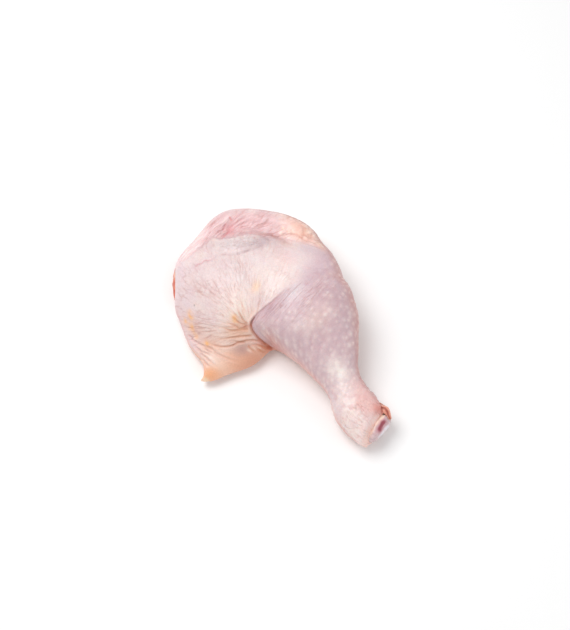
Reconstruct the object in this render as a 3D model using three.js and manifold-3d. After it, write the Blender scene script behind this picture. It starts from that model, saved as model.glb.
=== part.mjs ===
// A raw chicken leg quarter: thigh and drumstick in one piece, skin side up, lying on its inner side.
// Millimetres, +Z up. X runs from the hip end to the knee, Y from the hock to the back of the thigh,
// and the origin is on the table, under the middle of the leg.
import * as THREE from "three";
import { LoftGeometry } from "three/addons/geometries/LoftGeometry.js";
import { mergeVertices } from "three/addons/utils/BufferGeometryUtils.js";
import Module from "manifold-3d";

// Driving dimensions.
// A roll is a stretch of flesh along a path: half as wide and half as high as stated at each point of it.
const DRUMSTICK = [
  { at: [19.5, 22, 23], halfWidth: 17.6, halfHeight: 21 },
  { at: [20.5, 8, 24], halfWidth: 23.7, halfHeight: 25.5 },
  { at: [24.5, -9, 22.5], halfWidth: 23.6, halfHeight: 25 },
  { at: [29.8, -24, 19.5], halfWidth: 18.5, halfHeight: 20.5 },
  { at: [38.4, -44, 14.5], halfWidth: 11.4, halfHeight: 12.5 },
  { at: [47.5, -61, 13], halfWidth: 14.3, halfHeight: 13.4 },
  { at: [58.5, -71.5, 12.5], halfWidth: 13.2, halfHeight: 13 },
];
// The calf bulges from the drumstick towards the hollow of the knee, where it ends in a blunt tip.
const CALF = [
  { at: [-12, -7.2, 19.5], halfWidth: 6.2, halfHeight: 18 },
  { at: [-3, -6.2, 21.5], halfWidth: 12, halfHeight: 22 },
  { at: [8, -5, 22], halfWidth: 16.5, halfHeight: 22.5 },
  { at: [17, -3, 22], halfWidth: 16.5, halfHeight: 21 },
];
const BACK_ROLL = [
  { at: [-58, 33, 17], halfWidth: 6.5, halfHeight: 11 },
  { at: [-46.3, 48, 18.5], halfWidth: 7.7, halfHeight: 15 },
  { at: [-31.5, 60.3, 19], halfWidth: 9.7, halfHeight: 16.5 },
  { at: [-3, 58.3, 19], halfWidth: 10, halfHeight: 16.5 },
  { at: [12.5, 50.6, 20], halfWidth: 9.9, halfHeight: 16 },
  { at: [20, 38.2, 21], halfWidth: 7, halfHeight: 14 },
];
const SKIN_FOLD = [
  { at: [-41, 35, 33], halfWidth: 1, halfHeight: 1 },
  { at: [-29, 38.2, 38.5], halfWidth: 5, halfHeight: 6.3 },
  { at: [-16, 41.8, 39], halfWidth: 5, halfHeight: 5.8 },
  { at: [-3, 45, 36], halfWidth: 1, halfHeight: 1 },
];
// A pillow is a flat mound: its outline is a radius at each 30 degrees round its centre,
// from +X towards +Y. A low crown makes its edge thin, and a high one makes it blunt.
const THIGH = {
  centre: [-22, 18],
  radii: [49, 44, 41, 39, 38.5, 46.3, 43.2, 39.3, 39, 32, 30, 40],
  edgeHeight: 16,
  rise: 29,
  depth: 23,
  crown: 2.2,
};
const FLAP = {
  centre: [-22, 18],
  radii: [18, 18, 18, 18, 18, 24, 36, 41, 51, 47.6, 36, 28.6],
  edgeHeight: 5,
  rise: 22,
  depth: 8,
  crown: 1.85,
};
const TAIL = { direction: 244.5, length: 13, above: 2.2, below: 11 };
// How softly the forms run into each other.
const BLEND = { flap: 12, roll: 3.5, fold: 2.5, calf: 12 };
// The crease between thigh and drumstick, tight up to one height on Y and open from another.
const CREASE = { tight: 3, open: 15, from: -4, to: 24 };
const FLOOR_ROUND = 3;

// Sections across the leg, from the hip end to the hock: where each plane starts on the inner side
// and ends on the outer side, and the place of a point inside the leg on it, as a share of that
// width and a height.
const SECTION_GUIDES = [
  { inner: [-65.3, -10], outer: [-65.3, 44], core: [0.56, 16] },
  { inner: [-57, -45], outer: [-42, 66], core: [0.53, 5.5] },
  { inner: [-31, -44], outer: [-22, 78], core: [0.48, 5.5] },
  { inner: [-10, -32], outer: [-1, 78], core: [0.46, 6] },
  { inner: [0, -21], outer: [38, 56], core: [0.42, 9] },
  { inner: [9, -30], outer: [58, 12], core: [0.42, 13] },
  { inner: [24, -49], outer: [57, -34], core: [0.42, 14] },
  { inner: [33, -68], outer: [60, -50], core: [0.5, 13] },
  { inner: [43.2, -90.5], outer: [69.7, -47.9], core: [0.48, 12] },
];
const SECTIONS = 79;
const TOP_STEPS = 41;
const UNDER_STEPS = 18;
const RAYS = 360;
// The cut at the hock leans back by this much for each millimetre of height, from this share of
// the length on.
const CUT_LEAN = { slope: 0.25, from: 0.86 };

// The meat of the thigh comes out from under the skin at the hip end and lies bare underneath.
const MEAT = { centre: [-32.2, 26.5], halfLength: 36, halfWidth: 27, height: 21, squareness: 2.6 };
// The shank bone: an oval end of cartilage at the hock, and the shaft that runs up the drumstick.
const BONE_END = {
  centre: [58.4, -69, 11.5],
  turn: 53,
  halfLength: 10.6,
  halfDepth: 5.2,
  halfHeight: 8.6,
};
const BONE_SHAFT = { to: [17, 0, 22], radius: 4 };
// The cut tendon comes out of the flesh beside the bone and bends down on to the bone's end.
const TENDON = { root: [56, -55, 15], bend: [63.1, -59.2, 16.6], tip: [64.1, -63.8, 15.8], radius: 2.5 };
const FIT_GAP = 0.3;

const wasm = await Module();
wasm.setup();

const smoothstep = (low, high, x) => THREE.MathUtils.smoothstep(x, low, high);

// The union of two forms given by their distances, with a fillet of the stated size between them.
function blend(a, b, size) {
  const overlap = Math.max(size - Math.abs(a - b), 0) / size;
  return Math.min(a, b) - (overlap * overlap * size) / 4;
}

// The distance from a point to the surface of a roll, negative inside.
function rollForm(stations, fullness = 2, samples = 48) {
  const places = stations.map((s) => new THREE.Vector3(...s.at));
  const halves = stations.map((s) => new THREE.Vector3(s.halfWidth, s.halfHeight, 0));
  const path = new THREE.CatmullRomCurve3(places);
  const sizes = new THREE.CatmullRomCurve3(halves);
  const spine = [];
  for (let i = 0; i <= samples; i++) {
    const place = path.getPoint(i / samples);
    const size = sizes.getPoint(i / samples);
    spine.push({ x: place.x, y: place.y, z: place.z, width: size.x, height: size.y });
  }
  return (p) => {
    let nearest = Infinity;
    let found = 0;
    let share = 0;
    for (let i = 0; i < samples; i++) {
      const a = spine[i];
      const b = spine[i + 1];
      const dx = b.x - a.x;
      const dy = b.y - a.y;
      const ahead = ((p.x - a.x) * dx + (p.y - a.y) * dy) / (dx * dx + dy * dy);
      const along = Math.min(1, Math.max(0, ahead));
      const gapX = p.x - a.x - along * dx;
      const gapY = p.y - a.y - along * dy;
      const gap = gapX * gapX + gapY * gapY;
      if (gap < nearest) {
        nearest = gap;
        found = i;
        share = along;
      }
    }
    const a = spine[found];
    const b = spine[found + 1];
    const width = a.width + (b.width - a.width) * share;
    const height = a.height + (b.height - a.height) * share;
    const level = Math.abs(p.z - a.z - (b.z - a.z) * share) / height;
    const side = Math.sqrt(nearest) / width;
    return ((side ** fullness + level ** fullness) ** (1 / fullness) - 1) * Math.min(width, height);
  };
}

// The radius of a pillow's outline in a direction, a smooth curve through the stated radii.
function outlineRadius(radii, angle) {
  const place = (angle / (2 * Math.PI)) * radii.length;
  const i = Math.floor(place);
  const t = place - i;
  const at = (k) => radii[(((i + k) % radii.length) + radii.length) % radii.length];
  const slopeIn = (at(1) - at(-1)) / 2;
  const slopeOut = (at(2) - at(0)) / 2;
  const t2 = t * t;
  const t3 = t2 * t;
  const ends = (2 * t3 - 3 * t2 + 1) * at(0) + (3 * t2 - 2 * t3) * at(1);
  return ends + (t3 - 2 * t2 + t) * slopeIn + (t3 - t2) * slopeOut;
}

// The distance from a point to the surface of a pillow, negative inside.
function pillowForm({ centre, radii, edgeHeight, rise, depth, crown }, flatness, spike) {
  return (p) => {
    const dx = p.x - centre[0];
    const dy = p.y - centre[1];
    const angle = (Math.atan2(dy, dx) + 2 * Math.PI) % (2 * Math.PI);
    const far = Math.hypot(dx, dy);
    const round = outlineRadius(radii, angle);
    const radius = round + (spike ? spike(angle) * smoothstep(0.7, 1, far / round) : 0);
    const height = p.z > edgeHeight ? rise : depth;
    const level = Math.abs(p.z - edgeHeight) / height;
    const reach = far / radius;
    return ((reach ** flatness + level ** crown) ** (1 / crown) - 1) * Math.min(radius, height);
  };
}

const tailSpike = (angle) => {
  const off = angle * THREE.MathUtils.RAD2DEG - TAIL.direction;
  return TAIL.length * Math.exp(-((Math.abs(off) / (off < 0 ? TAIL.above : TAIL.below)) ** 1.4));
};
const thigh = pillowForm(THIGH, 2.6);
const flap = pillowForm(FLAP, 1.7, tailSpike);
const drumstick = rollForm(DRUMSTICK, 2.3);
const calf = rollForm(CALF, 2.9);
const backRoll = rollForm(BACK_ROLL);
const skinFold = rollForm(SKIN_FOLD);

// The whole leg as one form. The drumstick folds sharply on to the thigh in the hollow of the knee,
// and the skin runs smoothly from one to the other on the outer side.
function legForm(p) {
  let body = blend(thigh(p), flap(p), BLEND.flap);
  body = blend(body, backRoll(p), BLEND.roll);
  body = blend(body, skinFold(p), BLEND.fold);
  const shank = blend(drumstick(p), calf(p), BLEND.calf);
  const open = smoothstep(CREASE.from, CREASE.to, p.y);
  body = blend(body, shank, THREE.MathUtils.lerp(CREASE.tight, CREASE.open, open));
  return -blend(-body, p.z, FLOOR_ROUND);
}

// One closed section of the leg in the plane through two points, seen from a point inside.
function traceSection(inner, outer, core, lean) {
  const across = outer.clone().sub(inner);
  const middle = inner.clone().addScaledVector(across, core.x).setZ(core.y);
  across.normalize();
  const up = new THREE.Vector3(-across.y, across.x, 0).multiplyScalar(lean).setZ(1).normalize();
  const probe = new THREE.Vector3();
  const exit = (angle) => {
    const way = across.clone().multiplyScalar(Math.cos(angle)).addScaledVector(up, Math.sin(angle));
    let low = 0;
    let high = 0.75;
    while (legForm(probe.copy(middle).addScaledVector(way, high)) < 0) {
      low = high;
      high += 0.75;
    }
    for (let i = 0; i < 14; i++) {
      const mid = (low + high) / 2;
      if (legForm(probe.copy(middle).addScaledVector(way, mid)) < 0) low = mid;
      else high = mid;
    }
    return middle.clone().addScaledVector(way, low);
  };
  const arc = (start, end, steps) => {
    const fine = [];
    for (let i = 0; i <= RAYS / 2; i++) {
      fine.push(exit(THREE.MathUtils.lerp(start, end, (2 * i) / RAYS)));
    }
    const far = [0];
    for (let i = 1; i < fine.length; i++) {
      far.push(far[i - 1] + fine[i].distanceTo(fine[i - 1]));
    }
    const points = [];
    let k = 0;
    for (let i = 0; i < steps; i++) {
      const want = (far[far.length - 1] * i) / steps;
      while (far[k + 1] < want) k++;
      points.push(fine[k].clone().lerp(fine[k + 1], (want - far[k]) / (far[k + 1] - far[k])));
    }
    return points;
  };
  return [...arc(Math.PI, 0, TOP_STEPS), ...arc(0, -Math.PI, UNDER_STEPS)].reverse();
}

function legGeometry() {
  const guide = (key) => {
    return new THREE.CatmullRomCurve3(SECTION_GUIDES.map((g) => new THREE.Vector3(...g[key], 0)));
  };
  const inner = guide("inner");
  const outer = guide("outer");
  const core = guide("core");
  const sections = [];
  for (let i = 0; i < SECTIONS; i++) {
    const u = (i / (SECTIONS - 1)) ** 1.15;
    const lean = CUT_LEAN.slope * smoothstep(CUT_LEAN.from, 1, u);
    sections.push(traceSection(inner.getPoint(u), outer.getPoint(u), core.getPoint(u), lean));
  }
  return new LoftGeometry(sections, { capStart: true, capEnd: true });
}

// A shape as a solid that can be joined and cut.
function solidOf(shape) {
  const bare = new THREE.BufferGeometry();
  bare.setAttribute("position", shape.getAttribute("position"));
  bare.setIndex(shape.index);
  const merged = mergeVertices(bare, 1e-3);
  const corners = [];
  for (let i = 0; i < merged.index.count; i += 3) {
    const [a, b, c] = [0, 1, 2].map((k) => merged.index.getX(i + k));
    if (a !== b && b !== c && c !== a) corners.push(a, b, c);
  }
  const vertProperties = Float32Array.from(merged.getAttribute("position").array);
  const triVerts = Uint32Array.from(corners);
  return new wasm.Manifold(new wasm.Mesh({ numProp: 3, vertProperties, triVerts }));
}

// The mesh of a finished solid, in its own colour.
function meshOf(name, solid, color, roughness) {
  const { numProp, vertProperties, triVerts } = solid.getMesh();
  const points = [];
  for (let i = 0; i < vertProperties.length; i += numProp) {
    points.push(...vertProperties.slice(i, i + 3));
  }
  const shape = new THREE.BufferGeometry();
  shape.setAttribute("position", new THREE.Float32BufferAttribute(points, 3));
  shape.setIndex(Array.from(triVerts));
  shape.computeVertexNormals();
  const material = new THREE.MeshStandardMaterial({ color, roughness, metalness: 0 });
  const mesh = new THREE.Mesh(shape, material);
  mesh.name = name;
  return mesh;
}

// The meat, a flat-bottomed mound with a squarish oval outline.
function meatShape(extra) {
  const shape = new THREE.SphereGeometry(1, 34, 16);
  const points = shape.getAttribute("position");
  const p = new THREE.Vector3();
  for (let i = 0; i < points.count; i++) {
    p.fromBufferAttribute(points, i);
    const long = Math.abs(p.x) ** MEAT.squareness + Math.abs(p.z) ** MEAT.squareness;
    const square = long > 0 ? Math.hypot(p.x, p.z) / long ** (1 / MEAT.squareness) : 1;
    const x = MEAT.centre[0] + p.x * square * (MEAT.halfLength + extra);
    const y = MEAT.centre[1] - p.z * square * (MEAT.halfWidth + extra);
    const z = MEAT.height * 0.42 + p.y * (MEAT.height * 0.58 + extra);
    points.setXYZ(i, x, y, Math.max(z, extra > 0 ? -1 : 0));
  }
  return shape;
}

// The bone: the shaft runs from the middle of the oval end up the drumstick.
function boneSolid(extra) {
  const end = new THREE.SphereGeometry(1, 26, 14);
  end.scale(BONE_END.halfLength + extra, BONE_END.halfDepth + extra, BONE_END.halfHeight + extra);
  end.rotateZ(THREE.MathUtils.degToRad(BONE_END.turn));
  end.translate(...BONE_END.centre);
  const shaft = rodShape(BONE_END.centre, BONE_SHAFT.to, BONE_SHAFT.radius + extra);
  return solidOf(end).add(solidOf(shaft));
}

// A round-ended rod between two points.
function rodShape(from, to, radius) {
  const a = new THREE.Vector3(...from);
  const b = new THREE.Vector3(...to);
  const rod = new THREE.CapsuleGeometry(radius, a.distanceTo(b), 3, 14);
  const turn = new THREE.Quaternion().setFromUnitVectors(
    new THREE.Vector3(0, 1, 0),
    b.clone().sub(a).normalize(),
  );
  rod.applyQuaternion(turn);
  rod.translate(...a.add(b).multiplyScalar(0.5));
  return rod;
}

function tendonSolid(extra) {
  const lower = solidOf(rodShape(TENDON.root, TENDON.bend, TENDON.radius + extra));
  return lower.add(solidOf(rodShape(TENDON.bend, TENDON.tip, TENDON.radius + extra)));
}

const leg = solidOf(legGeometry())
  .subtract(solidOf(meatShape(FIT_GAP)))
  .subtract(boneSolid(FIT_GAP))
  .subtract(tendonSolid(FIT_GAP));
const meat = solidOf(meatShape(0));
const bone = boneSolid(0);
const tendon = tendonSolid(0).subtract(boneSolid(FIT_GAP));

const quarter = new THREE.Group();
quarter.add(meshOf("skin_on_leg", leg, "#ecd4d0", 0.45));
quarter.add(meshOf("thigh_meat", meat, "#d98478", 0.4));
quarter.add(meshOf("shank_bone", bone, "#e6d8d4", 0.4));
quarter.add(meshOf("shank_tendon", tendon, "#cf8a66", 0.45));

// The middle of the underside of the whole goes to the origin.
const box = new THREE.Box3().setFromObject(quarter);
const middle = box.getCenter(new THREE.Vector3());
quarter.position.set(-middle.x, -middle.y, -box.min.z);

export default quarter;
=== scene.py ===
import bmesh
import bpy
import math
import numpy as np
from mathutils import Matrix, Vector, noise
from mathutils.bvhtree import BVHTree


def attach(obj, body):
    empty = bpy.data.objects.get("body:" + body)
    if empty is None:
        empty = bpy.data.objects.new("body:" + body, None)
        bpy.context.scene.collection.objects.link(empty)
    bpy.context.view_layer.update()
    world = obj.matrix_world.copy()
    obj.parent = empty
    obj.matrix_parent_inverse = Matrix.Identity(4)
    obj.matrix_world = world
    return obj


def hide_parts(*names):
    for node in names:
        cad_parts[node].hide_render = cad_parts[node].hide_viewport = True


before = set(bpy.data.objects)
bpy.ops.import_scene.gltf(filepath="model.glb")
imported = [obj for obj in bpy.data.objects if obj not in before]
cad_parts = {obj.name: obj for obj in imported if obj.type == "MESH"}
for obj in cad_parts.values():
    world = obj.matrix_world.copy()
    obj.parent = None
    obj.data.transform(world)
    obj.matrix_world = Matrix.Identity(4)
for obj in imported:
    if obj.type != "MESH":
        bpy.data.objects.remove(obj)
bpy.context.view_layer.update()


# Thigh meat
# The bare muscle on the inner side of the thigh. It lies under the skin, which ends short of it at the hip,
# so a red sliver shows there. Its fibres run along the thigh, with thin white membrane between them.
def remade(node, name, voxel, rounds):
    """A copy of a CAD node as an even mesh of small faces, its facets smoothed away."""
    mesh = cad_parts[node].data.copy()
    form = bmesh.new()
    form.from_mesh(mesh)
    bmesh.ops.remove_doubles(form, verts=form.verts, dist=1e-6)
    form.to_mesh(mesh)
    form.free()
    piece = bpy.data.objects.new(name, mesh)
    bpy.context.scene.collection.objects.link(piece)
    even = piece.modifiers.new("even", "REMESH")
    even.mode = "VOXEL"
    even.voxel_size = voxel
    soft = piece.modifiers.new("soft", "SMOOTH")
    soft.factor = 0.5
    soft.iterations = rounds
    ready = piece.evaluated_get(bpy.context.evaluated_depsgraph_get())
    finished = bpy.data.meshes.new_from_object(ready)
    piece.modifiers.clear()
    piece.data = finished
    finished.materials.clear()
    finished.polygons.foreach_set("use_smooth", [True] * len(finished.polygons))
    return piece


def points_of(piece):
    """The piece's points and their normals, in millimetres."""
    count = len(piece.data.vertices)
    places = np.zeros(count * 3)
    piece.data.vertices.foreach_get("co", places)
    normals = np.zeros(count * 3)
    piece.data.vertex_normals.foreach_get("vector", normals)
    return places.reshape(-1, 3) * 1000, normals.reshape(-1, 3)


def move(piece, places):
    """Puts the piece's points at new places, in millimetres, none of them below the table."""
    places = np.c_[places[:, :2], np.maximum(places[:, 2], 0)]
    piece.data.vertices.foreach_set("co", (places / 1000).ravel())
    piece.data.update()


def smoothstep(low, high, x):
    """Rises softly from 0 at a low value to 1 at a high one, or falls where low is the greater."""
    t = np.clip((x - low) / (high - low), 0, 1)
    return t * t * (3 - 2 * t)


def bell(values, width):
    """One where a value is zero, falling off over about a width. On uneven values it gives soft lines."""
    return np.exp(-((values / width) ** 2))


def clouds(a, b, c, size, start=0.0):
    """Smooth uneven values about zero, which change over about a size. Another start gives other values."""
    spots = np.column_stack([a, b, np.broadcast_to(c, np.shape(a))]) / size + start
    return np.array([noise.noise(Vector(spot)) for spot in spots]) * 2


def linear(red, green, blue):
    """A colour as a screen shows it, 0 to 255, as the light that it stands for."""
    shown = np.array([red, green, blue]) / 255
    return np.where(shown <= 0.04045, shown / 12.92, ((shown + 0.055) / 1.055) ** 2.4)


def one_colour(count, colour):
    """The same colour for a count of points."""
    return np.tile(linear(*colour), (count, 1))


def layered(tone, layers):
    """Lays colours over others in turn. Each comes after a mask, which says how strongly it covers."""
    for mask, colour in layers:
        mask = np.clip(mask, 0, 1)[:, None]
        tone = tone * (1 - mask) + linear(*colour) * mask
    return tone


def add(tree, kind, **settings):
    """A node of a kind. A setting names an input socket, or one of the node's own choices in lower case."""
    made = tree.nodes.new("ShaderNode" + kind)
    for key, value in settings.items():
        if hasattr(made, key):
            setattr(made, key, value)
        else:
            made.inputs[key.replace("_", " ")].default_value = value
    return made


def join(tree, giver, output, taker, socket):
    """Links an output of one node to a socket of another."""
    tree.links.new(giver.outputs[output], taker.inputs[socket])


def flesh(name, gloss, subsurface, bleed, grain, depth):
    """A moist flesh material: it reads the stored colours, lets light in a little and has a fine grain."""
    material = bpy.data.materials.new(name)
    material.use_nodes = True
    tree = material.node_tree
    shader = tree.nodes["Principled BSDF"]
    shader.inputs["Subsurface Weight"].default_value = subsurface
    shader.inputs["Subsurface Radius"].default_value = bleed
    shader.inputs["Subsurface Scale"].default_value = 0.0015
    shader.inputs["Coat Weight"].default_value = 0.12
    shader.inputs["Coat Roughness"].default_value = 0.2
    tint = add(tree, "Attribute", attribute_name="tint")
    where = add(tree, "TexCoord")
    dots = add(tree, "TexNoise", Scale=1 / grain, Detail=3.0, Roughness=0.6)
    join(tree, where, "Object", dots, "Vector")
    light = add(tree, "MapRange", From_Min=0.3, From_Max=0.7, To_Min=0.93, To_Max=1.05)
    join(tree, dots, "Fac", light, "Value")
    colour = add(tree, "MixRGB", name="colour", blend_type="MULTIPLY", Fac=1.0)
    join(tree, tint, "Color", colour, "Color1")
    join(tree, light, "Result", colour, "Color2")
    join(tree, colour, "Color", shader, "Base Color")
    wet = add(tree, "TexNoise", Scale=0.12 / grain, Detail=2.0)
    join(tree, where, "Object", wet, "Vector")
    sheen = add(tree, "MapRange", From_Min=0.35, From_Max=0.65, To_Min=gloss, To_Max=gloss + 0.16)
    join(tree, wet, "Fac", sheen, "Value")
    join(tree, sheen, "Result", shader, "Roughness")
    relief = add(tree, "Bump", name="relief", Strength=0.4, Distance=depth)
    join(tree, dots, "Fac", relief, "Height")
    join(tree, relief, "Normal", shader, "Normal")
    return material


def finish(piece, node, tone, material):
    """Gives a piece its colours and its material, and puts it in the place of its CAD node."""
    layer = piece.data.attributes.new("tint", "FLOAT_COLOR", "POINT")
    layer.data.foreach_set("color", np.c_[tone, np.ones(len(tone))].ravel())
    piece.data.materials.append(material)
    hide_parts(node)
    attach(piece, "root")


meat = remade("thigh_meat", "meat", voxel=0.0009, rounds=8)
place, normal = points_of(meat)
x, y, z = place.T
fibre = clouds(y, x * 0.1, z * 0.6, size=2.2)
sinew = bell(clouds(y * 0.8, x * 0.12, z * 0.5, size=5, start=9), 0.12)
FIBRE_HEIGHT = 0.25
SINEW_HEIGHT = 0.15
move(meat, place + normal * (fibre * FIBRE_HEIGHT + sinew * SINEW_HEIGHT)[:, None])
tone = layered(one_colour(len(place), (206, 98, 74)), [
    (smoothstep(-0.2, 0.8, fibre), (224, 138, 112)),
    (smoothstep(0.2, 0.9, -fibre), (196, 92, 78)),
    (sinew * 0.6, (240, 208, 192)),
])
raw_meat = flesh("raw_meat", gloss=0.3, subsurface=0.2, bleed=(1.2, 0.4, 0.25), grain=0.0008, depth=0.0002)
finish(meat, "thigh_meat", tone, raw_meat)

# Shank bone
# The lower leg bone, cut free at the hock joint. Its oval end is capped with bluish white cartilage, with a
# groove of dark red marrow and blood across it. The shaft runs up inside the drumstick.
HOCK = np.array([59.2, -64, 11.5])
HOCK_TURN = math.radians(53)
LONG_WAY = np.array([math.cos(HOCK_TURN), math.sin(HOCK_TURN), 0])
OUT_WAY = np.array([math.sin(HOCK_TURN), -math.cos(HOCK_TURN), 0])
GROOVE_OUT = 2.2
GROOVE_WIDTH = 2.4
bone = remade("shank_bone", "bone", voxel=0.0006, rounds=6)
place, normal = points_of(bone)
x, y, z = place.T
along = (place - HOCK) @ LONG_WAY
out = (place - HOCK) @ OUT_WAY
high = z - HOCK[2]
lumps = clouds(x, y, z, size=4.5, start=3)
pits = clouds(x, y, z, size=1.6, start=4)
wander = clouds(along, high * 0.3, 0, size=5, start=7)
groove = bell(out - GROOVE_OUT - 0.4 * wander, GROOVE_WIDTH) * smoothstep(-1, 2, high)
groove *= smoothstep(7.4, 2, np.abs(along - 0.4))
flat = np.maximum(out - 2.5, 0) * 0.35 * smoothstep(6, 2, along)
relief = lumps * 0.45 + pits * 0.12 - groove * 0.8
move(bone, place + normal * relief[:, None] - flat[:, None] * OUT_WAY)
tone = layered(one_colour(len(place), (242, 208, 192)), [
    (smoothstep(-1, 1.2, out + 0.6 * wander), (208, 178, 182)),
    (smoothstep(4, 4.9, out + 0.3 * lumps), (232, 228, 236)),
    (smoothstep(-0.4, 0.8, pits) * 0.35, (238, 216, 212)),
    (bell(along - 6, 3) * smoothstep(0.5, -1.5, out) * 0.8, (250, 232, 212)),
    (smoothstep(0.1, 0.7, groove) * 0.7, (202, 132, 144)),
    (smoothstep(0.5, 0.96, groove) * 0.9, (146, 42, 62)),
])
cartilage = flesh("cartilage", gloss=0.25, subsurface=0.25, bleed=(1.0, 0.7, 0.6), grain=0.0012, depth=0.0001)
finish(bone, "shank_bone", tone, cartilage)

# Tendon
# The cut end of the strong tendon that ran over the hock, beside the bone. It is a small bundle of brownish
# orange strands that bends down onto the bone end.
TENDON = np.array([(56.8, -50, 15), (63.9, -54.2, 16.6), (64.9, -58.8, 15.8)])
STRANDS = 4
TWIST = 1.8
tendon = remade("shank_tendon", "tendon", voxel=0.0004, rounds=6)
place, normal = points_of(tendon)
run = TENDON[1:] - TENDON[:-1]
ahead = [np.clip((place - TENDON[i]) @ run[i] / (run[i] @ run[i]), 0, 1) for i in (0, 1)]
centre = [TENDON[i] + ahead[i][:, None] * run[i] for i in (0, 1)]
bent = np.linalg.norm(place - centre[1], axis=1) < np.linalg.norm(place - centre[0], axis=1)
middle = np.where(bent[:, None], centre[1], centre[0])
along = np.where(bent, 1 + ahead[1], ahead[0])
off = place - middle
turn = np.arctan2(off[:, 2], off @ np.array([0.6, 0.8, 0]))
strand = np.cos(turn * STRANDS + TWIST * along + clouds(*place.T, size=3, start=13))
move(tendon, middle + off * (0.86 + 0.17 * strand)[:, None])
tone = layered(one_colour(len(place), (212, 136, 114)), [
    (smoothstep(0.1, 0.9, strand), (232, 172, 152)),
    (smoothstep(0.1, 0.9, -strand), (166, 84, 72)),
])
sinewy = flesh("sinew", gloss=0.28, subsurface=0.2, bleed=(1.0, 0.5, 0.3), grain=0.0008, depth=0.0002)
finish(tendon, "shank_tendon", tone, sinewy)

# Skin-on leg
# The thigh and the drumstick under one loose, moist skin. It folds in at the hollow of the knee, where
# creases fan out over the thigh, rolls over at the back and hangs as a flap with a pointed tail in front.
skin = remade("skin_on_leg", "skin", voxel=0.00121, rounds=8)

# The upper side, which faces the camera and has the fine folds, gets smaller faces.
FACING = np.array([0, -0.375, 0.927])
SLOPE = np.array([0, 0.927, 0.375])
form = bmesh.new()
form.from_mesh(skin.data)
facing = Vector(FACING)
upper = [edge for edge in form.edges if min(face.normal.dot(facing) for face in edge.link_faces) > 0]
bmesh.ops.subdivide_edges(form, edges=upper, cuts=1, use_grid_fill=True)
for _ in range(10):
    bmesh.ops.smooth_vert(
        form, verts=form.verts, factor=0.5, use_axis_x=True, use_axis_y=True, use_axis_z=True
    )
form.to_mesh(skin.data)
form.free()
skin.data.polygons.foreach_set("use_smooth", [True] * len(skin.data.polygons))


def reach_to(places, piece):
    """How far each place is from a piece, and the nearest place on it, in millimetres."""
    form = bmesh.new()
    form.from_mesh(piece.data)
    tree = BVHTree.FromBMesh(form)
    form.free()
    nearest = [tree.find_nearest(Vector(place / 1000)) for place in places]
    hits = np.array([hit[0] for hit in nearest]) * 1000
    return np.array([hit[3] for hit in nearest]) * 1000, hits


# At the cut the skin closes on the bone and the tendon, half a millimetre into them, and its edge stands up
# as a rolled lip beside the tendon. At the hip end it closes on the bare meat in the same way.
SINK = 0.5
CUT_REACH = 22
HIP_SIDE = -54
FAR_OFF = 99.0
place, normal = points_of(skin)
lip = np.zeros(len(place))
ring = np.zeros(len(place))
sore = np.zeros(len(place))
bone_gap = np.full(len(place), FAR_OFF)
at_cut = np.linalg.norm(place - HOCK, axis=1) < CUT_REACH
at_hip = (place[:, 0] < HIP_SIDE) & (place[:, 2] > 0.5)
for piece, where, height in ((bone, at_cut, 1.0), (tendon, at_cut, 0.5), (meat, at_hip, 0.6)):
    chosen = np.flatnonzero(where)
    far, hit = reach_to(place[chosen], piece)
    pull = smoothstep(2.8, 1.2, far) * (1 + SINK / np.maximum(far, 0.3))
    outward = smoothstep(0.1, 0.5, normal[chosen] @ OUT_WAY) * smoothstep(3.4, 1, far) * (piece is bone)
    place[chosen] += (hit - place[chosen]) * pull[:, None] + outward[:, None] * OUT_WAY
    lip[chosen] = np.maximum(lip[chosen], height * bell(far - 3, 1.3))
    ring[chosen] = np.maximum(ring[chosen], smoothstep(3.0, 1.6, far))
    sore[chosen] = np.maximum(sore[chosen], smoothstep(3.6, 1.2, far) * (piece is tendon))
    if piece is bone:
        bone_gap[chosen] = far
lip *= np.where(at_cut, smoothstep(-6, 5, (place - HOCK) @ LONG_WAY), 1)
near_cut = smoothstep(-1.5, 2.5, (place - HOCK) @ OUT_WAY) * at_cut
cut_side = smoothstep(-8, -3, (place - HOCK) @ OUT_WAY) * at_cut

# The tip of the tail curls to the left.
TAIL = (-45.6, -28.5)
TAIL_CURL = np.array([-2.4, 0.8, 0.6])
tail_tip = smoothstep(6.5, 0, np.hypot(place[:, 0] - TAIL[0], place @ SLOPE - TAIL[1]))
place += (tail_tip**2)[:, None] * TAIL_CURL
move(skin, place)

# Spots on the upper side are told by how far across they are and how far up a slope that leans back. All the
# relief is gathered as a swelling along the normals.
place, normal = points_of(skin)
x, y, z = place.T
across, rise = x, place @ SLOPE
spot = np.c_[across, rise]
toward = normal @ FACING
front = smoothstep(0.02, 0.3, toward)
swell = lip.copy()


def curve(points, steps=6):
    """A smooth path through a few points."""
    points = np.array(points, float)
    ends = np.vstack([2 * points[0] - points[1], points, 2 * points[-1] - points[-2]])
    path = []
    for i in range(len(points) - 1):
        a, b, c, d = ends[i : i + 4]
        for t in np.linspace(0, 1, steps, endpoint=False):
            bend = (2 * a - 5 * b + 4 * c - d) * t * t + (3 * b - a - 3 * c + d) * t**3
            path.append(b + ((c - a) * t + bend) / 2)
    path.append(points[-1])
    return np.array(path)


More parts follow.
